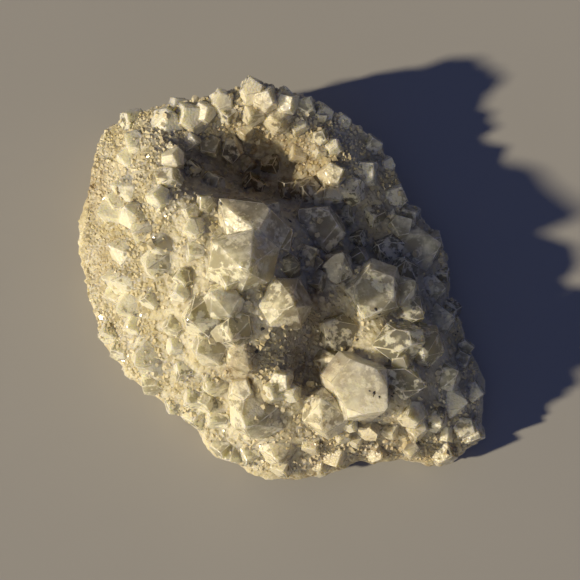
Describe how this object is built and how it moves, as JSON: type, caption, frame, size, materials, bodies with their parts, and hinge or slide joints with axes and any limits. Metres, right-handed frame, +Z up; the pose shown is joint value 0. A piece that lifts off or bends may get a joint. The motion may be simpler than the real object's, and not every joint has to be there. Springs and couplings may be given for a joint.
{
  "type": "quartz cluster",
  "caption": "Natural cluster of grown-together milky to clear quartz crystals on a broken quartz base, resting on its flat underside.",
  "frame": {"origin": "middle of the flat underside, under the middle of the whole piece", "axes": "+Z up out of the surface it rests on, +X to the right and +Y away from someone who looks down on it as the picture does"},
  "size_m": [0.1049, 0.0995, 0.045],
  "materials": {
    "quartz": "glassy crystal faces, clear to milky, on hazy cream quartz"
  },
  "bodies": {
    "root": {"quartz_cluster": "quartz"}
  },
  "joints": []
}
